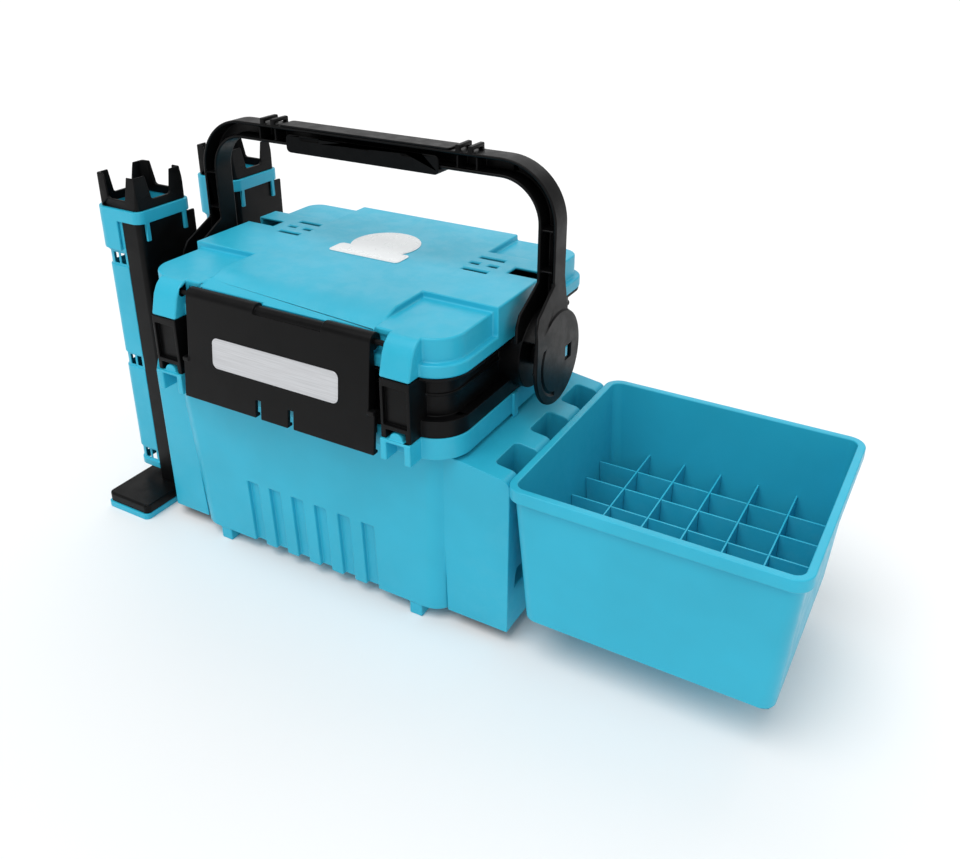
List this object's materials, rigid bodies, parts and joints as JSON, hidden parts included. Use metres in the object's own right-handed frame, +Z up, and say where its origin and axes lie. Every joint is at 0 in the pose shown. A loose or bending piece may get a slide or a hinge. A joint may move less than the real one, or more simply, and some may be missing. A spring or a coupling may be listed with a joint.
{
  "type": "fishing tackle cabinet",
  "caption": "Carrying tackle box with a hinged lid, front latch, swinging bail handle, lift-out tray, hook-on rod holders and a hook-on jig box with a grid of cells.",
  "frame": {"origin": "floor level under the middle of the whole assembly's footprint", "axes": "+X to the jig box's side, +Y to the back (the hinge side), +Z up; the latch faces -Y"},
  "size_m": [0.762, 0.3006, 0.436],
  "materials": {
    "blue_plastic": "moulded, fine satin sheen",
    "black_plastic": "moulded, satin sheen",
    "grip_plastic": "matte moulded grip",
    "tray_plastic": "plain moulded",
    "bare_badge": "bare round plate",
    "bare_plate": "bare satin plate",
    "pin_steel": "plain drawn pin",
    "seal_rubber": "soft strip"
  },
  "bodies": {
    "box": {"tub": "blue_plastic", "mid_frame": "black_plastic", "handle_pin_left": "pin_steel", "handle_pin_right": "pin_steel"},
    "lid_body": {"lid": "blue_plastic", "lid_seal": "seal_rubber", "lid_badge": "bare_badge", "lid_hinge_pins": "pin_steel", "latch_pin": "black_plastic"},
    "latch_body": {"front_latch": "black_plastic", "latch_label": "bare_plate"},
    "handle_body": {"handle": "black_plastic", "handle_grip": "grip_plastic", "handle_cap": "black_plastic"},
    "front_rod_holder": {"front_holder_back": "black_plastic", "front_holder_tube": "blue_plastic", "front_holder_collar": "blue_plastic", "front_holder_crown": "black_plastic", "front_holder_foot": "black_plastic", "front_holder_tray": "blue_plastic"},
    "rear_rod_holder": {"rear_holder_back": "black_plastic", "rear_holder_tube": "blue_plastic", "rear_holder_collar": "blue_plastic", "rear_holder_crown": "black_plastic", "rear_holder_foot": "black_plastic", "rear_holder_tray": "blue_plastic"},
    "jig_box_body": {"jig_box": "blue_plastic"},
    "cell_grid": {"cell_strips_long": "blue_plastic", "cell_strips_cross": "blue_plastic"},
    "tray_body": {"inner_tray": "tray_plastic"}
  },
  "joints": [
    {"name": "lid_hinge", "type": "hinge", "parent": "box", "child": "lid_body", "pos_m": [0, 0.14475, 0.264], "axis": [-1, 0, 0], "range_deg": [0, 27]},
    {"name": "latch_hinge", "type": "hinge", "parent": "lid_body", "child": "latch_body", "pos_m": [0, -0.13225, 0.297], "axis": [-1, 0, 0], "range_deg": [0, 95]},
    {"name": "handle_pivot", "type": "hinge", "parent": "box", "child": "handle_body", "pos_m": [0, 0.00375, 0.251], "axis": [-1, 0, 0], "range_deg": [-60, 90]},
    {"name": "front_rod_holder_lift", "type": "slide", "parent": "box", "child": "front_rod_holder", "axis": [0, 0, 1], "range_m": [0, 0.08]},
    {"name": "rear_rod_holder_lift", "type": "slide", "parent": "box", "child": "rear_rod_holder", "axis": [0, 0, 1], "range_m": [0, 0.08]},
    {"name": "jig_box_lift", "type": "slide", "parent": "box", "child": "jig_box_body", "axis": [0, 0, 1], "range_m": [0, 0.08]},
    {"name": "cell_grid_lift", "type": "slide", "parent": "jig_box_body", "child": "cell_grid", "axis": [0, 0, 1], "range_m": [0, 0.14]},
    {"name": "inner_tray_lift", "type": "slide", "parent": "box", "child": "tray_body", "axis": [0, 0, 1], "range_m": [0, 0.05]}
  ]
}
